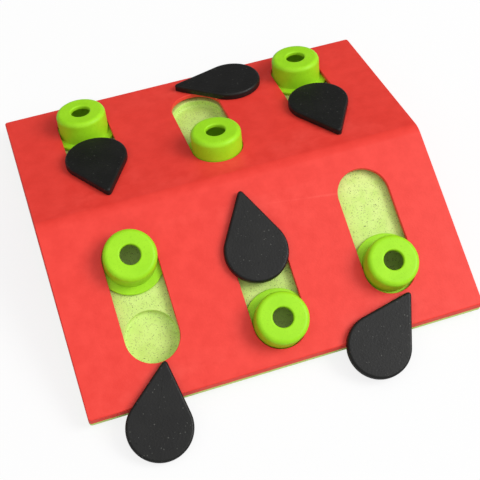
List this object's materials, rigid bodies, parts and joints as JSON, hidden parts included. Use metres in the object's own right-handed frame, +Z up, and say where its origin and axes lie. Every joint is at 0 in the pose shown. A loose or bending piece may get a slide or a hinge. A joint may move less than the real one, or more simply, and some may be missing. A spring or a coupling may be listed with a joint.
{
  "type": "pet treat puzzle feeder",
  "caption": "Low gable-shaped treat puzzle for pets: hollow round sliders run in slots, and teardrop lids swivel over treat cups in the tray beneath.",
  "frame": {"origin": "middle of the footprint, on the plane of the tray walls and pads that it rests on", "axes": "+X along the ridge to the right as pictured, +Y from the front edge to the back edge, +Z up"},
  "size_m": [0.28, 0.2952, 0.0623],
  "materials": {
    "red_cover": "satin moulded plastic",
    "pale_tray": "pale lime plastic with fine dark specks",
    "lime_slider": "satin moulded plastic",
    "charcoal_lid": "dark plastic with sparse specks",
    "steel": "zinc plated",
    "soft_pad": "matte"
  },
  "bodies": {
    "case": {"top_cover": "red_cover", "base_tray": "pale_tray", "case_screws": "steel", "foot_front_left": "soft_pad", "foot_front_right": "soft_pad", "foot_back_left": "soft_pad", "foot_back_right": "soft_pad"},
    "slider_front_left": {"slider_front_left": "lime_slider"},
    "lid_front_left": {"lid_front_left": "charcoal_lid", "lid_screw_front_left": "steel"},
    "slider_front_middle": {"slider_front_middle": "lime_slider"},
    "lid_front_middle": {"lid_front_middle": "charcoal_lid", "lid_screw_front_middle": "steel"},
    "slider_front_right": {"slider_front_right": "lime_slider"},
    "lid_front_right": {"lid_front_right": "charcoal_lid", "lid_screw_front_right": "steel"},
    "slider_back_left": {"slider_back_left": "lime_slider"},
    "lid_back_left": {"lid_back_left": "charcoal_lid", "lid_screw_back_left": "steel"},
    "slider_back_middle": {"slider_back_middle": "lime_slider"},
    "lid_back_middle": {"lid_back_middle": "charcoal_lid", "lid_screw_back_middle": "steel"},
    "slider_back_right": {"slider_back_right": "lime_slider"},
    "lid_back_right": {"lid_back_right": "charcoal_lid", "lid_screw_back_right": "steel"}
  },
  "joints": [
    {"name": "slide_front_left", "type": "slide", "parent": "case", "child": "slider_front_left", "axis": [0, 0.9511, 0.309], "range_m": [-0.0536, 0.0012]},
    {"name": "slide_front_middle", "type": "slide", "parent": "case", "child": "slider_front_middle", "axis": [0, 0.9511, 0.309], "range_m": [-0.0002, 0.0084]},
    {"name": "slide_front_right", "type": "slide", "parent": "case", "child": "slider_front_right", "axis": [0, 0.9511, 0.309], "range_m": [-0.001, 0.0533]},
    {"name": "slide_back_left", "type": "slide", "parent": "case", "child": "slider_back_left", "axis": [0, -0.9511, 0.309], "range_m": [-0.0042, 0.0044]},
    {"name": "slide_back_middle", "type": "slide", "parent": "case", "child": "slider_back_middle", "axis": [0, -0.9511, 0.309], "range_m": [-0.0484, 0.0002]},
    {"name": "slide_back_right", "type": "slide", "parent": "case", "child": "slider_back_right", "axis": [0, -0.9511, 0.309], "range_m": [-0.0024, 0.0062]},
    {"name": "swivel_front_left", "type": "hinge", "parent": "case", "child": "lid_front_left", "pos_m": [-0.085, -0.11318, 0.01816], "axis": [0, -0.309, 0.9511], "continuous": true},
    {"name": "swivel_front_middle", "type": "hinge", "parent": "case", "child": "lid_front_middle", "pos_m": [0, -0.02054, 0.04826], "axis": [0, -0.309, 0.9511], "continuous": true},
    {"name": "swivel_front_right", "type": "hinge", "parent": "case", "child": "lid_front_right", "pos_m": [0.085, -0.11318, 0.01816], "axis": [0, -0.309, 0.9511], "range_deg": [-43, 139]},
    {"name": "swivel_back_left", "type": "hinge", "parent": "case", "child": "lid_back_left", "pos_m": [-0.085, 0.02054, 0.04826], "axis": [0, 0.309, 0.9511], "continuous": true},
    {"name": "swivel_back_middle", "type": "hinge", "parent": "case", "child": "lid_back_middle", "pos_m": [0, 0.11318, 0.01816], "axis": [0, 0.309, 0.9511], "continuous": true},
    {"name": "swivel_back_right", "type": "hinge", "parent": "case", "child": "lid_back_right", "pos_m": [0.085, 0.02054, 0.04826], "axis": [0, 0.309, 0.9511], "continuous": true}
  ]
}
